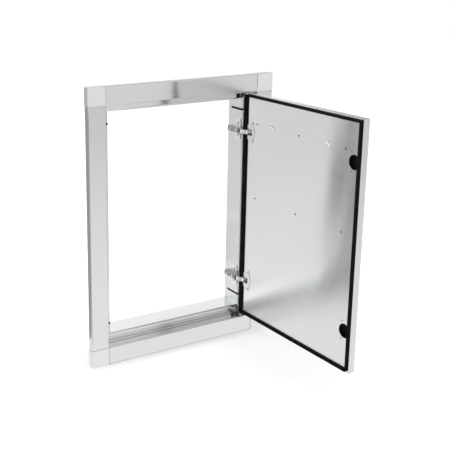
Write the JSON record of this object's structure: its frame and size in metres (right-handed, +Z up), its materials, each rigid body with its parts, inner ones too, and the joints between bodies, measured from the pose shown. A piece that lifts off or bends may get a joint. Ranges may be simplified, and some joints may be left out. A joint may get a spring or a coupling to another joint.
{
  "type": "outdoor kitchen access door",
  "caption": "Folded stainless steel face frame with an inset door that swings on concealed cup hinges, with a seal, a bar handle and spare holes for hanging it on the other side.",
  "frame": {"origin": "middle of the bottom rail's hem, on the back face that seats against the island's front", "axes": "+Z up, +Y into the island, +X to the right of someone who faces the door from outside"},
  "size_m": [0.5291, 0.4978, 0.6992],
  "materials": {
    "brushed_steel": "brushed stainless steel, grain along each side",
    "panel_steel": "smooth stainless steel sheet with a fine vertical grain",
    "satin_cast": "paler satin cast steel",
    "nickel_plate": "bright nickel plate on pressed steel",
    "zinc_steel": "dull zinc plate on steel",
    "black_rubber": "matt black extruded rubber",
    "black_nylon": "matt black nylon"
  },
  "bodies": {
    "frame": {"frame_stile_left": "brushed_steel", "frame_stile_right": "brushed_steel", "frame_rail_top": "brushed_steel", "frame_rail_bottom": "brushed_steel", "frame_corner_top_left": "satin_cast", "frame_corner_top_right": "satin_cast", "frame_corner_bottom_left": "satin_cast", "frame_corner_bottom_right": "satin_cast", "slot_plug_lower_left": "black_nylon", "slot_plug_lower_right": "black_nylon", "slot_plug_upper_left": "black_nylon", "slot_plug_upper_right": "black_nylon", "lower_hinge_plate": "nickel_plate", "lower_hinge_plate_screw_bottom": "zinc_steel", "lower_hinge_plate_screw_top": "zinc_steel", "lower_hinge_arm": "nickel_plate", "lower_hinge_adjuster_front": "zinc_steel", "lower_hinge_adjuster_rear": "zinc_steel", "lower_hinge_outer_pin": "zinc_steel", "lower_hinge_inner_pin": "zinc_steel", "upper_hinge_plate": "nickel_plate", "upper_hinge_plate_screw_bottom": "zinc_steel", "upper_hinge_plate_screw_top": "zinc_steel", "upper_hinge_arm": "nickel_plate", "upper_hinge_adjuster_front": "zinc_steel", "upper_hinge_adjuster_rear": "zinc_steel", "upper_hinge_outer_pin": "zinc_steel", "upper_hinge_inner_pin": "zinc_steel"},
    "door": {"door_skin": "brushed_steel", "door_inner_panel": "panel_steel", "door_stiffener_hinge_side": "zinc_steel", "door_stiffener_latch_side": "zinc_steel", "door_seal_bottom": "black_rubber", "door_seal_top": "black_rubber", "door_seal_latch_side": "black_rubber", "door_seal_hinge_side_bottom": "black_rubber", "door_seal_hinge_side_middle": "black_rubber", "door_seal_hinge_side_top": "black_rubber", "lower_spare_hole_liner": "black_nylon", "upper_spare_hole_liner": "black_nylon", "handle_bar": "brushed_steel", "handle_post_hinge_side": "brushed_steel", "handle_post_latch_side": "brushed_steel", "handle_screw_hinge_side": "nickel_plate", "handle_screw_latch_side": "nickel_plate", "lower_hinge_cup": "nickel_plate", "lower_hinge_cup_screw_bottom": "zinc_steel", "lower_hinge_cup_screw_top": "zinc_steel", "upper_hinge_cup": "nickel_plate", "upper_hinge_cup_screw_bottom": "zinc_steel", "upper_hinge_cup_screw_top": "zinc_steel"},
    "lower_outer_link": {"lower_hinge_outer_link": "nickel_plate"},
    "lower_inner_link": {"lower_hinge_inner_link": "nickel_plate"},
    "upper_outer_link": {"upper_hinge_outer_link": "nickel_plate"},
    "upper_inner_link": {"upper_hinge_inner_link": "nickel_plate"}
  },
  "joints": [
    {"name": "door_swing", "type": "hinge", "parent": "frame", "child": "door", "pos_m": [0.2038, -0.0039, 0.343], "axis": [0, 0, 1], "range_deg": [-92, 3]},
    {"name": "lower_outer_link_turn", "type": "hinge", "parent": "frame", "child": "lower_outer_link", "pos_m": [0.181, 0.002, 0.142], "axis": [0, 0, 1], "range_deg": [-1.77, 52.94]},
    {"name": "lower_inner_link_turn", "type": "hinge", "parent": "frame", "child": "lower_inner_link", "pos_m": [0.183, 0.007, 0.142], "axis": [0, 0, 1], "range_deg": [-1.78, 53.13]},
    {"name": "upper_outer_link_turn", "type": "hinge", "parent": "frame", "child": "upper_outer_link", "pos_m": [0.181, 0.002, 0.544], "axis": [0, 0, 1], "range_deg": [-1.77, 52.94]},
    {"name": "upper_inner_link_turn", "type": "hinge", "parent": "frame", "child": "upper_inner_link", "pos_m": [0.183, 0.007, 0.544], "axis": [0, 0, 1], "range_deg": [-1.78, 53.13]}
  ],
  "couplings": [
    {"joint": "lower_outer_link_turn", "follows": "door_swing", "ratio": -0.5749},
    {"joint": "lower_inner_link_turn", "follows": "door_swing", "ratio": -0.577},
    {"joint": "upper_outer_link_turn", "follows": "door_swing", "ratio": -0.5749},
    {"joint": "upper_inner_link_turn", "follows": "door_swing", "ratio": -0.577}
  ]
}
